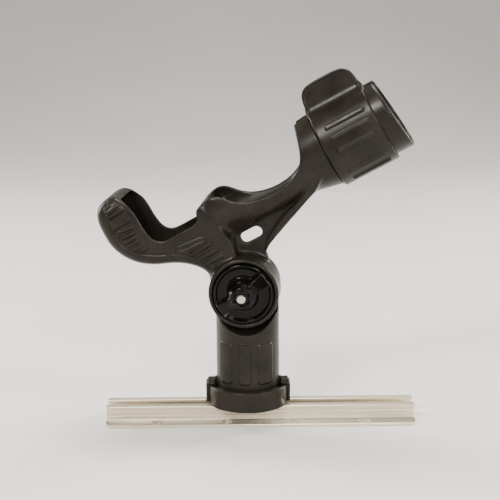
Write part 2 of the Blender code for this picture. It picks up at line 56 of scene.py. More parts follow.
# ------------------------------------------------------------------ frames
JOINTS = {joint["name"]: joint for joint in frame["record"]["behaviour"]["joints"]}
PIVOT_AT = Vector(JOINTS["cradle_tilt"]["pos_m"])
AXIS_AT = Vector((PIVOT_AT.x, PIVOT_AT.y, 0.0))   # foot of the post's axis
YAW = math.radians(-6.0)      # how far the post is swivelled
TILT = math.radians(28.5)     # how far the cradle's tube points up
TUBE_V = 62.0                 # the tube's axis above the pivot, square to the tube

SWIVEL = Matrix.Translation(AXIS_AT) @ Matrix.Rotation(YAW, 4, "Z")
PIVOT = Matrix.Translation(PIVOT_AT) @ Matrix.Rotation(YAW, 4, "Z")
CRADLE = PIVOT @ Matrix.Rotation(-TILT, 4, "Y")
TUBE = CRADLE @ Matrix.Translation((0, 0, TUBE_V * MM))
BASE = Matrix.Translation(AXIS_AT)

# sizes that more than one moulding shares
BOLT_HOLE_R = 3.3
TEETH_R, TEETH_HALF = 17.0, 5.3     # pocket for a tooth ring: mid radius, half width
SPRING_R = 9.0                      # pocket for the separating spring
DETENT_GROOVE_Z, DETENT_GROOVE_HALF = 18.8, 1.1


# ------------------------------------------------------------------ distance fields
def smin(a, b, k):
    """Union with a fillet of about k."""
    h = np.maximum(k - np.abs(a - b), 0.0) / k
    return np.minimum(a, b) - h * h * k * 0.25


def smax(a, b, k):
    """Intersection with a fillet of about k."""
    return -smin(-a, -b, k)


def step(low, high, x):
    """0 below low, 1 above high, smooth between."""
    t = np.clip((x - low) / (high - low), 0.0, 1.0)
    return t * t * (3.0 - 2.0 * t)


def chaikin(points, rounds, closed=True):
    """Cut an outline's corners, so that it becomes a smooth curve."""
    pts = np.array(points, float)
    for _ in range(rounds):
        nxt = np.roll(pts, -1, axis=0) if closed else pts[1:]
        cur = pts if closed else pts[:-1]
        a = cur * 0.75 + nxt * 0.25
        b = cur * 0.25 + nxt * 0.75
        new = np.empty((len(a) * 2, 2))
        new[0::2] = a
        new[1::2] = b
        if not closed:
            new = np.vstack([pts[:1], new, pts[-1:]])
        pts = new
    return pts


def poly(px, py, points):
    """Signed distance to a closed outline, negative inside."""
    pts = np.asarray(points, float)
    best = np.full(px.shape, 1e9)
    inside = np.zeros(px.shape, bool)
    for (ax, ay), (bx, by) in zip(pts, np.roll(pts, -1, axis=0)):
        ex, ey = bx - ax, by - ay
        wx, wy = px - ax, py - ay
        t = np.clip((wx * ex + wy * ey) / max(ex * ex + ey * ey, 1e-9), 0.0, 1.0)
        dx, dy = wx - ex * t, wy - ey * t
        best = np.minimum(best, dx * dx + dy * dy)
        if ay != by:
            crosses = ((ay <= py) != (by <= py)) & (px < ax + ex * (py - ay) / (by - ay))
            inside ^= crosses
    return np.where(inside, -1.0, 1.0) * np.sqrt(best)


def line_dist(px, py, points):
    """Distance to an open line."""
    pts = np.asarray(points, float)
    best = np.full(px.shape, 1e9)
    for (ax, ay), (bx, by) in zip(pts[:-1], pts[1:]):
        ex, ey = bx - ax, by - ay
        wx, wy = px - ax, py - ay
        t = np.clip((wx * ex + wy * ey) / max(ex * ex + ey * ey, 1e-9), 0.0, 1.0)
        best = np.minimum(best, (wx - ex * t) ** 2 + (wy - ey * t) ** 2)
    return np.sqrt(best)


def meet(a, b, r):
    """Intersection of two fields with an outer edge rounded to r."""
    a = a + r
    b = b + r
    return (np.minimum(np.maximum(a, b), 0.0)
            + np.hypot(np.maximum(a, 0.0), np.maximum(b, 0.0)) - r)


class Grid:
    """Sample points of a box, in millimetres."""

    def __init__(self, low, high, cell):
        self.low = np.array(low, float)
        self.cell = cell
        axes = [np.arange(a, b + cell, cell) for a, b in zip(low, high)]
        self.x, self.y, self.z = [axis.reshape(shape) for axis, shape in
                                  zip(axes, ((-1, 1, 1), (1, -1, 1), (1, 1, -1)))]
        self.shape = tuple(len(a) for a in axes)
        self.xz = np.meshgrid(axes[0], axes[2], indexing="ij")
        self.xy = np.meshgrid(axes[0], axes[1], indexing="ij")
        self.yz = np.meshgrid(axes[1], axes[2], indexing="ij")

    def side(self, field):
        """A field over X and Z, spread along Y."""
        return field[:, None, :]

    def front(self, field):
        """A field over Y and Z, spread along X."""
        return field[None, :, :]


def surface(field, grid, refine=2):
    """Surface nets: one vertex for each cell the surface passes through."""
    f = np.broadcast_to(field, grid.shape).astype(np.float32)
    inside = f < 0
    corners = [(i, j, k) for i in (0, 1) for j in (0, 1) for k in (0, 1)]
    n = [s - 1 for s in grid.shape]

    def cut(array, c):
        return array[c[0]:c[0] + n[0], c[1]:c[1] + n[1], c[2]:c[2] + n[2]]

    count = np.zeros(n, np.int8)
    for c in corners:
        count += cut(inside, c)
    cells = np.argwhere((count > 0) & (count < 8))
    value = {c: f[cells[:, 0] + c[0], cells[:, 1] + c[1], cells[:, 2] + c[2]]
             for c in corners}
    total = np.zeros((len(cells), 3))
    hits = np.zeros(len(cells))
    for c in corners:
        for axis in range(3):
            if c[axis]:
                continue
            d = list(c)
            d[axis] = 1
            d = tuple(d)
            a, b = value[c], value[d]
            crossing = (a < 0) != (b < 0)
            t = np.where(crossing, a / np.where(crossing, a - b, 1.0), 0.0)
            place = np.array(c, float)[None, :].repeat(len(cells), 0)
            place[:, axis] = t
            total += place * crossing[:, None]
            hits += crossing
    points = cells + total / hits[:, None]
    top = np.array(grid.shape) - 1.001

    def sample(p):
        p = np.clip(p, 0, top)
        i = p.astype(int)
        t = p - i
        out = 0.0
        for c in corners:
            w = np.ones(len(p))
            for axis in range(3):
                w = w * (t[:, axis] if c[axis] else 1.0 - t[:, axis])
            out = out + w * f[i[:, 0] + c[0], i[:, 1] + c[1], i[:, 2] + c[2]]
        return out

    for _ in range(refine):
        here = sample(points)
        slope = np.stack([sample(points + 0.5 * e) - sample(points - 0.5 * e)
                          for e in np.eye(3)], 1)
        size = np.maximum((slope ** 2).sum(1), 1e-6)
        move = -(here / size)[:, None] * slope
        points = points + np.clip(move, -0.45, 0.45)
    number = np.full(n, -1, np.int64)
    number[tuple(cells.T)] = np.arange(len(cells))
    quads = []
    for axis in range(3):
        others = [a for a in range(3) if a != axis]
        shape = [s - 2 for s in grid.shape]
        shape[axis] += 1
        start = [1, 1, 1]
        start[axis] = 0
        head = tuple(slice(s, s + m) for s, m in zip(start, shape))
        tail_start = list(start)
        tail_start[axis] += 1
        tail = tuple(slice(s, s + m) for s, m in zip(tail_start, shape))
        a, b = inside[head], inside[tail]
        edges = np.argwhere(a != b) + np.array(start)
        flip = a[tuple((edges - np.array(start)).T)]
        u, v = others
        ring = []
        for du, dv in ((-1, -1), (0, -1), (0, 0), (-1, 0)):
            cell = edges.copy()
            cell[:, u] += du
            cell[:, v] += dv
            ring.append(number[tuple(cell.T)])
        quad = np.stack(ring, 1)
        if axis == 1:
            flip = ~flip
        quad[~flip] = quad[~flip][:, ::-1]
        quads.append(quad)
    return grid.low + points * grid.cell, np.vstack(quads)


def mesh_piece(name, verts, quads, place):
    """A smooth object from points in a piece's own millimetres, set in the world."""
    mesh = bpy.data.meshes.new(name)
    mesh.vertices.add(len(verts))
    turn = np.array(place)
    where = np.asarray(verts) * MM @ turn[:3, :3].T + turn[:3, 3]
    mesh.vertices.foreach_set("co", where.astype(np.float32).ravel())
    mesh.loops.add(len(quads) * 4)
    mesh.loops.foreach_set("vertex_index", np.asarray(quads, np.int32).ravel())
    mesh.polygons.add(len(quads))
    mesh.polygons.foreach_set("loop_start", np.arange(len(quads), dtype=np.int32) * 4)
    mesh.polygons.foreach_set("use_smooth", np.ones(len(quads), bool))
    mesh.update(calc_edges=True)
    mesh.validate()
    obj = bpy.data.objects.new(name, mesh)
    bpy.context.scene.collection.objects.link(obj)
    return obj


def field_piece(name, field, grid, place):
    verts, quads = surface(field, grid)
    return mesh_piece(name, verts, quads, place)


# ------------------------------------------------------------------ materials
def nodes_of(name):
    mat = bpy.data.materials.new(name)
    mat.use_nodes = True
    tree = mat.node_tree
    shader = tree.nodes["Principled BSDF"]
    return mat, tree, shader


def noise(tree, scale, detail, stretch=None):
    where = tree.nodes.new("ShaderNodeTexCoord")
    tex = tree.nodes.new("ShaderNodeTexNoise")
    tex.inputs["Scale"].default_value = scale
    tex.inputs["Detail"].default_value = detail
    tex.inputs["Roughness"].default_value = 0.55
    source = where.outputs["Object"]
    if stretch:
        mapping = tree.nodes.new("ShaderNodeMapping")
        mapping.inputs["Scale"].default_value = stretch
        tree.links.new(source, mapping.inputs["Vector"])
        source = mapping.outputs["Vector"]
    tree.links.new(source, tex.inputs["Vector"])
    return tex.outputs["Fac"]


def ramp(tree, fac, stops):
    """Colour from a value, through (position, colour) stops."""
    node = tree.nodes.new("ShaderNodeValToRGB")
    while len(node.color_ramp.elements) < len(stops):
        node.color_ramp.elements.new(0.5)
    for element, (pos, color) in zip(node.color_ramp.elements, stops):
        element.position = pos
        element.color = (*color, 1.0)
    tree.links.new(fac, node.inputs["Fac"])
    return node.outputs["Color"]


def spread(tree, fac, low, high, from_low=0.3, from_high=0.7):
    """A value's range mapped onto another range."""
    node = tree.nodes.new("ShaderNodeMapRange")
    node.inputs["From Min"].default_value = from_low
    node.inputs["From Max"].default_value = from_high
    node.inputs["To Min"].default_value = low
    node.inputs["To Max"].default_value = high
    tree.links.new(fac, node.inputs["Value"])
    return node.outputs["Result"]


def bump(tree, height, strength, distance, normal=None):
    node = tree.nodes.new("ShaderNodeBump")
    node.inputs["Strength"].default_value = strength
    node.inputs["Distance"].default_value = distance
    tree.links.new(height, node.inputs["Height"])
    if normal:
        tree.links.new(normal, node.inputs["Normal"])
    return node.outputs["Normal"]


EVEN = (1.0, 1.0, 1.0)
ALONG_X = (0.05, 1.0, 1.0)     # stretches a texture along the drawn track


def plastic(name, dark, light, rough_low, rough_high, grain=0.25, specular=0.5):
    """Filled nylon: slightly mottled colour, uneven sheen and a fine moulded grain."""
    mat, tree, shader = nodes_of(name)
    cloud = noise(tree, 55.0, 5.0)
    tree.links.new(ramp(tree, cloud, [(0.35, dark), (0.68, light)]),
                   shader.inputs["Base Color"])
    sheen = noise(tree, 130.0, 3.0)
    tree.links.new(spread(tree, sheen, rough_low, rough_high), shader.inputs["Roughness"])
    fine = noise(tree, 2600.0, 2.0)
    coarse = noise(tree, 420.0, 3.0)
    first = bump(tree, coarse, grain * 0.6, 0.00012)
    tree.links.new(bump(tree, fine, grain, 0.00004, first), shader.inputs["Normal"])
    shader.inputs["Specular IOR Level"].default_value = specular
    return mat


def metal(name, dark, light, rough_low, rough_high):
    """Plated metal: a cloudy tone and roughness over a fine grain."""
    mat, tree, shader = nodes_of(name)
    streak = noise(tree, 60.0, 6.0, EVEN)
    tree.links.new(ramp(tree, streak, [(0.3, dark), (0.7, light)]),
                   shader.inputs["Base Color"])
    tree.links.new(spread(tree, streak, rough_low, rough_high), shader.inputs["Roughness"])
    tree.links.new(bump(tree, noise(tree, 900.0, 3.0, EVEN), 0.12, 0.00004),
                   shader.inputs["Normal"])
    shader.inputs["Metallic"].default_value = 1.0
    return mat


NYLON = plastic("moulded_nylon", (0.0088, 0.0070, 0.0056), (0.0165, 0.0131, 0.0105),
                0.25, 0.38, 0.25, 0.14)
POST_NYLON = plastic("post_nylon", (0.0100, 0.0083, 0.0067), (0.0180, 0.0146, 0.0118),
                     0.27, 0.40, 0.25, 0.14)
KNOB_GLOSS = plastic("knob_plastic", (0.002, 0.0018, 0.0017), (0.0035, 0.0032, 0.003),
                     0.07, 0.13, 0.05, 0.13)


def extrusion(name):
    """Drawn alloy, with painted shade: the even colour on the webs, and a darker copy of it
    painted on the two flanges' upper faces, where shade falls.
    """
    mat, tree, shader = nodes_of(name)
    streak = noise(tree, 60.0, 6.0, ALONG_X)
    bright = ramp(tree, streak, [(0.3, (0.66, 0.57, 0.43)), (0.7, (0.80, 0.71, 0.56))])
    # painted shade: a darker copy of the alloy's colour, for the flanges' upper faces
    painted_shade = ramp(tree, streak, [(0.3, (0.24, 0.235, 0.19)), (0.7, (0.34, 0.33, 0.27))])
    where = tree.nodes.new("ShaderNodeTexCoord")
    faces = tree.nodes.new("ShaderNodeSeparateXYZ")
    spots = tree.nodes.new("ShaderNodeSeparateXYZ")
    tree.links.new(where.outputs["Normal"], faces.inputs["Vector"])
    tree.links.new(where.outputs["Object"], spots.inputs["Vector"])
    facing_up = spread(tree, faces.outputs["Z"], 0.0, 1.0, 0.6, 0.95)
    low_down = spread(tree, spots.outputs["Z"], 1.0, 0.0, 0.0030, 0.0036)
    # painted shade mask: upward faces low down on the flanges get the darker colour
    flange_shade_mask = tree.nodes.new("ShaderNodeMath")
    flange_shade_mask.operation = "MULTIPLY"
    tree.links.new(facing_up, flange_shade_mask.inputs[0])
    tree.links.new(low_down, flange_shade_mask.inputs[1])
    mix = tree.nodes.new("ShaderNodeMix")
    mix.data_type = "RGBA"
    tree.links.new(flange_shade_mask.outputs[0], mix.inputs["Factor"])
    tree.links.new(bright, mix.inputs[6])
    tree.links.new(painted_shade, mix.inputs[7])
    tree.links.new(mix.outputs[2], shader.inputs["Base Color"])
    tree.links.new(spread(tree, streak, 0.30, 0.42), shader.inputs["Roughness"])
    fine = noise(tree, 900.0, 3.0, ALONG_X)
    tree.links.new(bump(tree, fine, 0.12, 0.00004), shader.inputs["Normal"])
    shader.inputs["Metallic"].default_value = 0.75
    return mat


ALLOY = extrusion("track_alloy")
STEEL = metal("plated_steel", (0.40, 0.37, 0.32), (0.58, 0.55, 0.49), 0.28, 0.44)
BLACK_STEEL = metal("blackened_steel", (0.010, 0.010, 0.010), (0.024, 0.023, 0.022),
                    0.30, 0.42)
ACETAL = plastic("white_acetal", (0.66, 0.66, 0.64), (0.76, 0.76, 0.74), 0.35, 0.5)


def dress(obj, mat):
    obj.data.materials.clear()
    obj.data.materials.append(mat)


# ------------------------------------------------------------------ cradle
# Outlines in the cradle's side plane: u along the tube, v square to it, from the pivot.
TUBE_R = 27.8
WALL = 2.8
# back of the hook and of the arm, from the tip down to the hub
SPINE = [(-52.5, 105), (-57, 104.9), (-61, 104), (-64.8, 102), (-67.8, 98.2),
         (-69.5, 93.4), (-70.2, 88), (-70.4, 82), (-70.2, 75.5), (-68.6, 69), (-65.8, 62.8),
         (-61.6, 56.8), (-56.9, 52.2), (-51.8, 48.7), (-46.3, 45.8), (-40.4, 43.5),
         (-34.5, 41), (-29.2, 37.8), (-24.3, 33.9), (-19.9, 29.2), (-17.4, 24.4),
         (-17, 19), (-17.6, 12)]
ARM_CLOSE = [(0, 14), (7, 25), (9.6, 31), (10.2, 37), (9.5, 42), (6, 50), (4, 60), (3, 75),
             (-20, 84), (-30, 90), (-40, 97), (-46.5, 103.4)]
# groove around the panel on the hook's side
PANEL_LINE = [(-56.6, 101.6), (-58.0, 99.2), (-58.8, 96.2), (-59.7, 90.5), (-61, 84),
              (-61.5, 77.4), (-60.8, 70.9), (-58.7, 66.2), (-55.1, 62.2), (-50, 58.3), (-45, 55.1),
              (-39.5, 52.2), (-33.8, 49.7), (-28.4, 46.8), (-23.3, 43.0), (-18.9, 38.3),
              (-15.2, 32.8), (-12.5, 27.5)]
# everything above this line is open
RIM = [(-60, 112), (-54.5, 107.6), (-49.4, 104), (-46.2, 99.8), (-44.2, 95.6),
       (-42.4, 91), (-41.6, 86), (-41.5, 81), (-41.4, 75),
       (-40.7, 69), (-39.2, 64.3), (-36.4, 61), (-32.5, 59.3), (-27, 59), (-20, 59.1),
       (-13, 59.2), (-8.4, 59.3), (-5, 60.6), (-3.4, 63), (-2.6, 66), (-1, 68.3),
       (2, 69.7), (6, 70.8), (9.5, 71.4), (13, 71), (16.2, 69.8), (19, 67.6),
       (21.6, 64.6), (24.6, 61.4), (28.6, 58.3), (33.5, 55.7), (39, 53.8), (45, 52.6),
       (51, 52.2), (57, 52.4), (62.5, 53.2), (67.5, 54.7), (72.5, 57.2), (77, 60.6),
       (80.4, 64.6), (82.8, 69.4), (84.4, 75), (85.6, 81), (86.6, 86.6), (87.6, 92),
       (88.4, 100), (88.4, 130), (-60, 130)]
WEB = [(-14, 10), (20, 8), (24.4, 10.5), (25.8, 16.3), (28, 19), (31, 20.9), (76, 38.4),
       (80, 52), (40, 50), (0, 50), (-12, 34)]
STRUT = [(26.5, 17.5), (31, 20.9), (76, 38.4), (82, 41.5), (88, 47), (92, 58), (86.5, 60),
         (84.4, 53.6), (80, 48.4), (76.1, 44.8), (68.9, 41.0), (60, 37.6), (52, 35.2),
         (44, 31.4), (37, 27.6), (30, 23.6)]
# raised bars on the sides: two ends and a half width
HOOK_BARS = [((-57.4, 96.6), (-49.4, 97.6), 0.6), ((-57.8, 93.2), (-47.4, 93.8), 0.8),
             ((-58.0, 88.6), (-48.8, 88.6), 2.0), ((-58.4, 85.6), (-48.4, 85.6), 1.8),
             ((-59.4, 80.8), (-47.5, 79.2), 0.8), ((-59.0, 75.6), (-48.6, 75.2), 0.7),
             ((-58.4, 72.2), (-49.3, 71.8), 0.9), ((-57.4, 68.4), (-49.6, 68.4), 0.7),
             ((-55.2, 64.6), (-47.7, 64.2), 0.8), ((-52.2, 61.2), (-46.6, 61.2), 0.7)]
ARM_BARS = [((-19.0, 42.0), (-3.8, 42.8), 0.9), ((-15.0, 36.6), (-2.0, 36.6), 1.1),
            ((-11.2, 31.2), (-0.6, 31.3), 1.1)]
ARM_FRAME = [(-30.5, 49.4), (-26.5, 52.2), (-6.6, 50.6), (-5.6, 48.2), (-6.2, 47.2),
             (-24.5, 48.0), (-30.5, 49.4)]


def make_cradle():
    grid = Grid((-74, -32.5, -28), (159, 32.5, 108), cell=0.66)
    u2, v2 = grid.xz
    u, y, v = grid.x, grid.y, grid.z
    ay = np.abs(y)

    # the arm with the hook, its edges rounder on the hook than by the hub
    arm2 = poly(u2, v2, chaikin(SPINE + ARM_CLOSE, 2))
    corner = 9.0 - 6.2 * step(-10, 2, u2)
    arm = meet(grid.side(arm2), ay - 27.0, grid.side(corner))

    # the tube and the open trough before it: half widths along u
    tube_end = 148.8
    us = u.ravel()
    half = np.interp(us, [0, 12, 30, 48, 64, 78, 90, 98.3, 98.9, 160],
                     [27.3, 27.3, 26.2, 25.5, 25.7, 26.9, 28.1, 28.8, TUBE_R, TUBE_R])
    deep = np.interp(us, [0, 48, 62, 76, 98.3, 98.9, 160],
                     [25.0, 25.2, 24.7, 24.2, 28.8, TUBE_R, TUBE_R])
    half, deep = half[:, None, None], deep[:, None, None]
    w = TUBE_V - v
    lower = np.where(w > 0, deep, half)
    round_r = np.sqrt((y / half) ** 2 + (w / lower) ** 2)
    open_tube = smax((round_r - 1.0) * np.minimum(half, lower), 4.5 - u, 7.0)
    body = smin(arm, open_tube, 7.0)
    end = 0.994 * (u - tube_end) + 0.11 * (v - 95.0)
    outer = smax(body, end, 2.2)

    # the web, the strut under the trough and the hub
    web = meet(grid.side(poly(u2, v2, WEB)), np.abs(y + 6.85) - 3.15, 0.8)
    outer = smin(outer, web, 3.5)
    strut2 = poly(u2, v2, chaikin(STRUT, 2))
    reach = np.interp(us, [28, 34, 50, 66, 80, 92], [10.2, 11.5, 13.5, 17.0, 22.0, 25.0])
    strut = meet(grid.side(strut2), np.abs(y) - reach[:, None, None], 1.2)
    outer = smin(outer, strut, 2.4)

    rp = np.hypot(u, v)
    hub = meet(rp - 25.2, np.abs(y + 17.05) - 13.35, 1.3)
    outer = smin(outer, hub, 4.0)

    # the sides' moulded details
    flank = step(19, 23, ay)
    groove = grid.side(np.exp(-(line_dist(u2, v2, chaikin(PANEL_LINE, 2, False)) / 1.05) ** 2))
    outer = outer + 1.1 * groove * flank
    raised = np.zeros(u2.shape)
    for a, b, wide in HOOK_BARS + ARM_BARS:
        raised = np.maximum(raised, 1.0 - step(0.0, 0.8, line_dist(u2, v2, [a, b]) - wide))
    frame_line = line_dist(u2, v2, ARM_FRAME)
    sunk = np.exp(-(frame_line / 0.8) ** 2)
    outer = outer - grid.side(1.5 * raised - 0.8 * sunk) * flank

    # open it: the rims, the hollow, the tube's slot
    rim = -grid.side(poly(u2, v2, chaikin(RIM, 2)))
    hollow = smax(body + WALL, 37.6 - v, 2.0)
    shell = smax(outer, -hollow, 0.7)
    shell = smax(shell, rim, 1.1)
    slot = np.maximum(np.maximum(ay - 10.0, 70.0 - v), 80.0 - u)
    shell = smax(shell, -slot, 0.8)
    # room for the post's ear, the hole through the web, the knob's recess, the pockets
    ear = np.maximum(rp - 33.0, -3.7 - y)
    shell = smax(shell, -ear, 0.5)
    hole2 = meet(np.abs(v2 - 32.4) - 4.1, np.abs(u2 - 22.3) - 8.3, 4.0)
    hole = np.maximum(grid.side(hole2), y - 3.0)
    shell = smax(shell, -hole, 1.1)
    recess = np.maximum(rp - 22.5, y + 25.2)
    shell = smax(shell, -recess, 0.7)
    teeth = np.maximum(np.abs(rp - TEETH_R) - TEETH_HALF, -8.2 - y)
    spring = np.maximum(rp - SPRING_R, -11.0 - y)
    shell = np.maximum(shell, -np.minimum(teeth, spring))
    shell = np.maximum(shell, BOLT_HOLE_R - rp)
    return field_piece("cradle_shell", shell, grid, CRADLE)


cradle = make_cradle()
dress(cradle, NYLON)
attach(cradle, "rod_cradle")
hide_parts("cradle")


# ------------------------------------------------------------------ collar
# the finger lip, from the side: x along the tube, z up from its axis
LIP = [(99.4, 20), (99.4, 32), (100.4, 38), (102, 42), (105, 44.8), (110, 46), (118, 46.3),
       (130, 46), (135.2, 44.9), (138.6, 42), (140.4, 38), (141.2, 32), (141.2, 20)]


def make_collar():
    grid = Grid((97.5, -34, -34), (143.5, 34, 48), cell=0.5)
    x2, z2 = grid.xz
    x, y, z = grid.x, grid.y, grid.z
    rr = np.hypot(y, z)
    ring = meet(np.abs(rr - 29.6) - 1.4, np.abs(x - 120.3) - 21.1, 0.9)
    ay = np.abs(y)
    above = np.degrees(np.arctan2(z, ay))
    outer_r = 31.0
    bars = np.zeros(np.broadcast(x, above).shape)
    for at in (27.5, 9.8, -7.5, -42.0, -60.0):     # degrees above level, on both sides
        across = (above - at) * math.radians(outer_r)
        along = np.maximum(np.abs(x - 121.6) - 13.2, 0.0)
        bars = np.maximum(bars, 1.0 - step(0.0, 0.7, np.hypot(across, along) - 1.2))
    ring = ring - 1.3 * bars * step(29.5, 30.5, rr)
    lip2 = poly(x2, z2, chaikin(LIP, 2))
    border = 0.8 * (1.0 - step(1.3, 2.4, -lip2))
    lip = meet(grid.side(lip2), np.abs(y + 12.1) - 1.5 - grid.side(border), 0.9)
    lip = smax(lip, 29.4 - rr, 0.6)
    # the ring's gap, its edge shut on the side where the lip stands
    gap_half = math.radians(20.5)
    gap = smax(ay * math.cos(gap_half) - z * math.sin(gap_half), -z, 1.0)
    gap = np.where(y < 0, np.maximum(gap, -10.4 - y), gap)
    ring = smax(ring, -gap, 0.9)
    body = smin(ring, lip, 5.0)
    body = smax(body, 28.2 - rr, 0.5)
    return field_piece("collar_shell", body, grid, TUBE)


collar = make_collar()
dress(collar, NYLON)
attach(collar, "lock_collar")
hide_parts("collar")


# ------------------------------------------------------------------ post
def make_post():
    grid = Grid((-27, -26, 16), (27, 26, 130), cell=0.6)
    x, y, z = grid.x, grid.y, grid.z
    z0 = PIVOT_AT.z / MM
    rr = np.hypot(x, y)
    rp = np.hypot(x, z - z0)
    angle = np.degrees(np.arctan2(x, -y))
    body = meet(rr - 23.2, np.abs(z - 60.3) - 42.7, 0.8)
    # raised grip pads: the middle and half width of each, in degrees around the post
    pads = np.zeros(np.broadcast(angle, z).shape)
    for at, wide in ((0, 10.5), (39.5, 15.0), (-39.5, 15.0), (180, 10.5), (-180, 10.5),
                     (140.5, 15.0), (-140.5, 15.0)):
        side = (np.abs(angle - at) - wide) * math.radians(23.5)
        ends = np.abs(z - 48.0) - 15.0
        pads = np.maximum(pads, 1.0 - step(-0.3, 0.5, meet(side, ends, 2.4)))
    body = body - 1.2 * pads
    # the flat behind the ear, the scoop that clears the cradle's hub, and the ear
    flat = np.maximum(14.2 - y, 73.0 - z)
    body = smax(body, -flat, 3.0)
    flare = 28.9 + 0.33 * np.maximum(-10.0 - y, 0.0)
    scoop = np.maximum(np.minimum(rp - flare, 88.0 - z), y + 3.4)
    body = smax(body, -scoop, 0.9)
    ear = meet(rp - 24.0, np.abs(y + 1.0) - 15.0, 6.5)
    ear = smax(ear, -3.4 - y, 1.2)
    body = smin(body, ear, 2.0)
    # the pockets, the bolt's hole, the socket for the base and the detents' groove
    teeth = np.maximum(np.abs(rp - TEETH_R) - TEETH_HALF, y - 1.1)
    spring = np.maximum(rp - SPRING_R, y - 4.5)
    body = np.maximum(body, -np.minimum(teeth, spring))
    body = np.maximum(body, BOLT_HOLE_R - rp)
    socket = np.maximum(rr - 19.2, z - 57.0)
    body = np.maximum(body, -socket)
    groove = np.maximum(22.2 - rr, np.abs(z - DETENT_GROOVE_Z) - DETENT_GROOVE_HALF)
    body = np.maximum(body, -groove)
    return field_piece("post_shell", body, grid, SWIVEL)


post = make_post()
dress(post, POST_NYLON)
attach(post, "swivel_post")
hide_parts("post")


# ------------------------------------------------------------------ base
def make_base():
    grid = Grid((-31.5, -31.5, 12), (31.5, 31.5, 33), cell=0.62)
    x, y, z = grid.x, grid.y, grid.z
    rr = np.hypot(x, y)
    body = meet(rr - 29.5, np.abs(z - 20.6) - 7.6, 1.2)
    bore = np.maximum(rr - 24.4, 16.0 - z)
    body = smax(body, -bore, 1.0)
    notch = np.maximum(np.abs(y) - 6.5, 20.6 - z)
    body = smax(body, -notch, 0.6)
    for side in (-1, 1):     # countersunk screw holes
        rs = np.hypot(x - side * 16.5, y)
        hole = np.minimum(rs - 3.3, np.maximum(rs - 4.9 - (z - 15.9) * 0.8, 13.4 - z))
        body = np.maximum(body, -hole)
    groove = np.maximum(rr - 25.6, np.abs(z - DETENT_GROOVE_Z) - DETENT_GROOVE_HALF)
    body = np.maximum(body, -groove)
    return field_piece("base_shell", body, grid, BASE)


base = make_base()
dress(base, POST_NYLON)
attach(base, "carriage")
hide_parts("mount_base")


def make_detent(name, side):
    """A blade that stands in the base's notch, with a plate wrapped round the base."""
    grid = Grid((side * 27.8 - 5.2, -8, 13), (side * 27.8 + 5.2, 8, 33), cell=0.3)
    x, y, z = grid.x, grid.y, grid.z
    y2, z2 = grid.yz
    outline = [(-6.2, 20.9), (6.2, 20.9), (6.2, 28.6), (4.6, 31), (-4.6, 31), (-6.2, 28.6)]
    body = meet(grid.front(poly(y2, z2, outline)), np.abs(x - side * 27.25) - 2.75, 0.7)
    plate2 = meet(np.abs(y2) - 6.2, np.abs(z2 - 21.6) - 7.2, 1.2)
    wrap = np.maximum(side * x - 31.2, 29.65 - np.hypot(x, y))
    body = smin(body, meet(grid.front(plate2), wrap, 0.4), 0.8)
    return field_piece(name, body, grid, BASE)


for node, side in (("detent_left", -1), ("detent_right", 1)):
    blade = make_detent(node + "_shell", side)
    dress(blade, POST_NYLON)
    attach(blade, "carriage")
    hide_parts(node)


# ------------------------------------------------------------------ knob
def make_knob():
    grid = Grid((-23.5, -45, -23.5), (23.5, -25.5, 23.5), cell=0.42)
    x, y, z = grid.x, grid.y, grid.z
    x2, z2 = grid.xz
    r2 = np.hypot(x2, z2)
    rr = grid.side(r2)
    out = -y
    # turned profile: radius, and distance out from the pivot's middle
    profile = chaikin([(-1, 26.6), (21.2, 26.6), (21.8, 27.3), (21.8, 30.6), (21.0, 31.4),
                       (19.6, 31.3), (18.9, 30.3), (17.5, 30.0), (12.6, 30.0),
                       (11.4, 31.0), (10.6, 32.0), (10.2, 36.0), (9.8, 39.0), (8.6, 39.9),
                       (8.2, 41.0), (7.9, 43.2), (7.1, 43.8), (-1, 43.8)], 1)
    full_r = np.broadcast_to(rr, grid.shape)
    full_o = np.broadcast_to(out, grid.shape)
    body = poly(full_r, full_o, profile)
    # the two wings: p along them, q across
    wing_angle = math.radians(37.5)
    c, s = math.cos(wing_angle), math.sin(wing_angle)
    p = x * c + z * s
    q = -x * s + z * c
    rise = np.interp(np.abs(p), [0, 9, 15, 20, 22], [40.4, 40.0, 37.6, 35.0, 33.6])
    width = np.interp(np.abs(p), [0, 7, 20], [4.0, 4.2, 6.0])
    wing = meet(np.abs(q) - width, out - rise, 1.4)
    wing = smax(wing, np.abs(p) - 20.4, 1.5)
    wing = np.maximum(wing, 29.5 - out)
    dish = np.maximum(np.abs(q) - width + 1.7, rise - 1.2 - out)
    dish = np.maximum(dish, 10.5 - np.abs(p))
    wing = smax(wing, -dish, 0.6)
    body = smin(body, wing, 1.6)
    slant = math.sqrt(3.0) / 2
    hexagon = np.maximum(np.abs(x2), np.maximum(np.abs(x2 * 0.5 + z2 * slant),
                                                np.abs(x2 * 0.5 - z2 * slant))) - 5.15
    nut = np.maximum(grid.side(hexagon), 39.0 - out)
    body = smax(body, -nut, 0.5)
    body = np.maximum(body, BOLT_HOLE_R - rr)
    return field_piece("knob_shell", body, grid, PIVOT)


knob = make_knob()
dress(knob, KNOB_GLOSS)
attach(knob, "clamp_knob")
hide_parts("knob")


# ------------------------------------------------------------------ track
TRACK_END = 114.3
TRACK_HALF = 22.2
TRACK_CORNER_R = 6.0
HOLE_PITCH, HOLE_Y = 50.8, 16.6
HOLE_PROFILE = [(2.3, -1.0), (2.3, 0.4), (4.4, 2.42), (4.4, 5.0)]   # radius, height


def object_of(name, bm):
    """A scene object from a bmesh in millimetres."""
    bmesh.ops.recalc_face_normals(bm, faces=bm.faces)
    bm.transform(Matrix.Scale(MM, 4))
    mesh = bpy.data.meshes.new(name)
    bm.to_mesh(mesh)
    bm.free()
    obj = bpy.data.objects.new(name, mesh)
    bpy.context.scene.collection.objects.link(obj)
    return obj


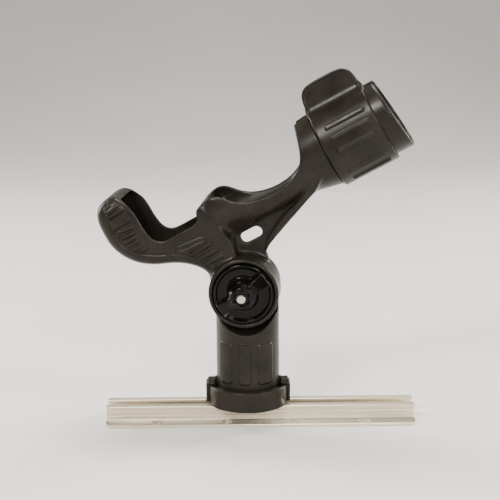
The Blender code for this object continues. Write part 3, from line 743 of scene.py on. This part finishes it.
def slab(name, outline, low, high, plane):
    """An outline in one plane, extruded along the third axis."""
    bm = bmesh.new()
    put = {"XY": lambda a, b, t: (a, b, t), "YZ": lambda a, b, t: (t, a, b)}[plane]
    bottom = bm.faces.new([bm.verts.new(put(a, b, low)) for a, b in outline])
    made = bmesh.ops.extrude_face_region(bm, geom=[bottom])
    moved = [item for item in made["geom"] if isinstance(item, bmesh.types.BMVert)]
    bmesh.ops.translate(bm, vec=Vector(put(0, 0, high - low)), verts=moved)
    return object_of(name, bm)


def rounded(points, radii, steps):
    """An outline whose corners are arcs; a radius of 0 keeps the corner sharp."""
    out = []
    count = len(points)
    for i, (point, radius) in enumerate(zip(points, radii)):
        here = Vector(point)
        if radius <= 0:
            out.append(tuple(here))
            continue
        before = (Vector(points[i - 1]) - here).normalized()
        after = (Vector(points[(i + 1) % count]) - here).normalized()
        half = before.angle(after) / 2
        run = radius / math.tan(half)
        centre = here + (before + after).normalized() * (radius / math.sin(half))
        start = here + before * run - centre
        stop = here + after * run - centre
        turn = start.angle_signed(stop)
        for k in range(steps + 1):
            spin = Matrix.Rotation(-turn * k / steps, 2)
            out.append(tuple(centre + spin @ start))
    return out


def apply_all(obj):
    graph = bpy.context.evaluated_depsgraph_get()
    mesh = bpy.data.meshes.new_from_object(obj.evaluated_get(graph))
    obj.modifiers.clear()
    obj.data = mesh


def cut(obj, cutter):
    mod = obj.modifiers.new("cut", "BOOLEAN")
    mod.operation = "DIFFERENCE"
    mod.object = cutter
    mod.solver = "EXACT"
    apply_all(obj)
    bpy.data.objects.remove(cutter, do_unlink=True)


def circle(cx, cy, r, steps=32):
    return [(cx + r * math.cos(2 * math.pi * i / steps),
             cy + r * math.sin(2 * math.pi * i / steps)) for i in range(steps)]


def screw_hole(cx, cy):
    """A countersunk cutter."""
    bm = bmesh.new()
    loops = [[bm.verts.new((px, py, height)) for px, py in circle(cx, cy, radius)]
             for radius, height in HOLE_PROFILE]
    for a, b in zip(loops, loops[1:]):
        for k in range(len(a)):
            j = (k + 1) % len(a)
            bm.faces.new((a[k], a[j], b[j], b[k]))
    bm.faces.new(list(reversed(loops[0])))
    bm.faces.new(loops[-1])
    return object_of("hole", bm)


def make_track():
    # half the section: flange, channel wall with two grooves, and the lip over the slot
    half, chan, inner, gap = TRACK_HALF, 10.8, 8.6, 4.6
    top, flange, lip = 12.7, 2.4, 10.4
    web = [(chan, flange), (chan, 5.6), (chan - 0.7, 6.0), (chan - 0.7, 6.6), (chan, 7.0),
           (chan, 9.2), (chan - 1.1, 9.6), (chan - 1.1, 10.6), (chan, 11.0), (chan, top)]
    near = [(half, 0), (half, flange)] + web + [(gap, top), (gap, lip), (inner, lip),
                                                (inner, flange)]
    section = near + [(-a, b) for a, b in reversed(near)]
    radii = [0.3, 0.9, 0.6] + [0.12] * 8 + [0.5, 0.5, 0.4, 0.5, 0.5]
    radii = radii + radii[::-1]
    outline = rounded(section, radii, 4)
    end, r = TRACK_END, TRACK_CORNER_R
    track = slab("track_profile", outline, -end, end, "YZ")
    for sx in (-1, 1):
        for sy in (-1, 1):
            corner = [(end + 1, half + 1), (end + 1, half - r)]
            corner += [(end - r + r * math.cos(math.pi / 2 * i / 12),
                        half - r + r * math.sin(math.pi / 2 * i / 12)) for i in range(13)]
            corner.append((end - r, half + 1))
            cut(track, slab("corner", [(sx * a, sy * b) for a, b in corner], -1, 4, "XY"))
    for i in range(4):
        for sy in (-1, 1):
            cut(track, screw_hole((i - 1.5) * HOLE_PITCH, sy * HOLE_Y))
    bevel = track.modifiers.new("edge", "BEVEL")
    bevel.width = 0.25 * MM
    bevel.segments = 2
    bevel.limit_method = "ANGLE"
    bevel.angle_limit = math.radians(50)
    apply_all(track)
    track.data.shade_smooth()
    track.data.set_sharp_from_angle(angle=math.radians(32))
    return track


track = make_track()
dress(track, ALLOY)
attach(track, "rail")
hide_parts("track")


# ------------------------------------------------------------------ kept CAD nodes
CARRIED = ((STEEL, ("t_nut_left", "t_nut_right", "base_screw_left", "base_screw_right",
                    "post_retainer", "post_tooth_ring", "head_washer", "pivot_bolt",
                    "separating_spring", "cradle_tooth_ring", "knob_washer")),
           (ACETAL, ("thrust_washer",)),
           (BLACK_STEEL, ("knob_nut",)))
for mat, nodes in CARRIED:
    for node in nodes:
        for place in bpy.data.objects[node].material_slots:
            place.material = mat


# ------------------------------------------------------------------ floor, light, camera
floor_mat, floor_tree, floor_shader = nodes_of("floor")
floor_tree.links.new(ramp(floor_tree, noise(floor_tree, 3.0, 2.0),
                          [(0.3, (0.64, 0.63, 0.61)), (0.7, (0.68, 0.67, 0.65))]),
                     floor_shader.inputs["Base Color"])
floor_shader.inputs["Roughness"].default_value = 0.8
mesh = bpy.data.meshes.new("floor")
# a level floor that curves up into a backdrop: y and z, in metres
FLAT_TO, SWEEP_R, SWEEP_STEPS = 1.2, 1.6, 24
sweep = [(-4.0, 0.0), (FLAT_TO, 0.0)]
sweep += [(FLAT_TO + SWEEP_R * math.sin(a), SWEEP_R - SWEEP_R * math.cos(a))
          for a in (math.pi / 2 * i / SWEEP_STEPS for i in range(1, SWEEP_STEPS + 1))]
sweep.append((FLAT_TO + SWEEP_R, 5.0))
mesh.from_pydata([(x, y, z) for y, z in sweep for x in (-6.0, 6.0)], [],
                 [(2 * i, 2 * i + 1, 2 * i + 3, 2 * i + 2) for i in range(len(sweep) - 1)])
mesh.shade_smooth()
floor = bpy.data.objects.new("floor", mesh)
bpy.context.scene.collection.objects.link(floor)
dress(floor, floor_mat)

world = bpy.data.worlds.new("studio")
world.use_nodes = True
world.node_tree.nodes["Background"].inputs["Color"].default_value = (1.0, 0.97, 0.93, 1)
world.node_tree.nodes["Background"].inputs["Strength"].default_value = 0.3
bpy.context.scene.world = world


def softbox(name, at, aim, size, power, color=(1.0, 0.97, 0.92)):
    light = bpy.data.lights.new(name, "AREA")
    light.shape = "RECTANGLE"
    light.size, light.size_y = size
    light.energy = power
    light.color = color
    obj = bpy.data.objects.new(name, light)
    obj.location = at
    obj.rotation_euler = (Vector(aim) - Vector(at)).to_track_quat("-Z", "Y").to_euler()
    bpy.context.scene.collection.objects.link(obj)


MIDDLE = (-0.01, 0.0, 0.14)
softbox("key", (-0.7, -1.1, 1.2), MIDDLE, (0.4, 0.4), 34.0)
softbox("front", (0.25, -1.5, 0.75), MIDDLE, (0.3, 0.4), 14.0)
softbox("fill", (1.2, -0.7, 0.5), MIDDLE, (0.2, 0.9), 11.0)
softbox("top", (0.1, 0.4, 1.4), MIDDLE, (0.8, 0.4), 28.0)
softbox("rim_left", (-1.1, 0.6, 0.5), MIDDLE, (0.2, 0.9), 20.0)
softbox("rim_right", (1.1, 0.7, 0.5), MIDDLE, (0.2, 0.9), 20.0)

VIEW_AZ = math.radians(-0.5)
VIEW_EL = math.radians(12.4)
VIEW_ROLL = math.radians(0.4)
DISTANCE = 0.95
LENS = 90.936
AIM = Vector((-0.00665, 0.02701, 0.1226))
back = Vector((math.sin(VIEW_AZ) * math.cos(VIEW_EL),
               -math.cos(VIEW_AZ) * math.cos(VIEW_EL), math.sin(VIEW_EL)))
right = (-back).cross(Vector((0, 0, 1))).normalized()
up = right.cross(-back)
side = math.cos(VIEW_ROLL) * right - math.sin(VIEW_ROLL) * up
head = math.sin(VIEW_ROLL) * right + math.cos(VIEW_ROLL) * up
camera_data = bpy.data.cameras.new("camera")
camera_data.sensor_width = 36.0
camera_data.lens = LENS
camera_data.clip_start = 0.01
camera = bpy.data.objects.new("camera", camera_data)
turn = Matrix((side, head, back)).transposed().to_4x4()
camera.matrix_world = Matrix.Translation(AIM + back * DISTANCE) @ turn
bpy.context.scene.collection.objects.link(camera)
bpy.context.scene.camera = camera
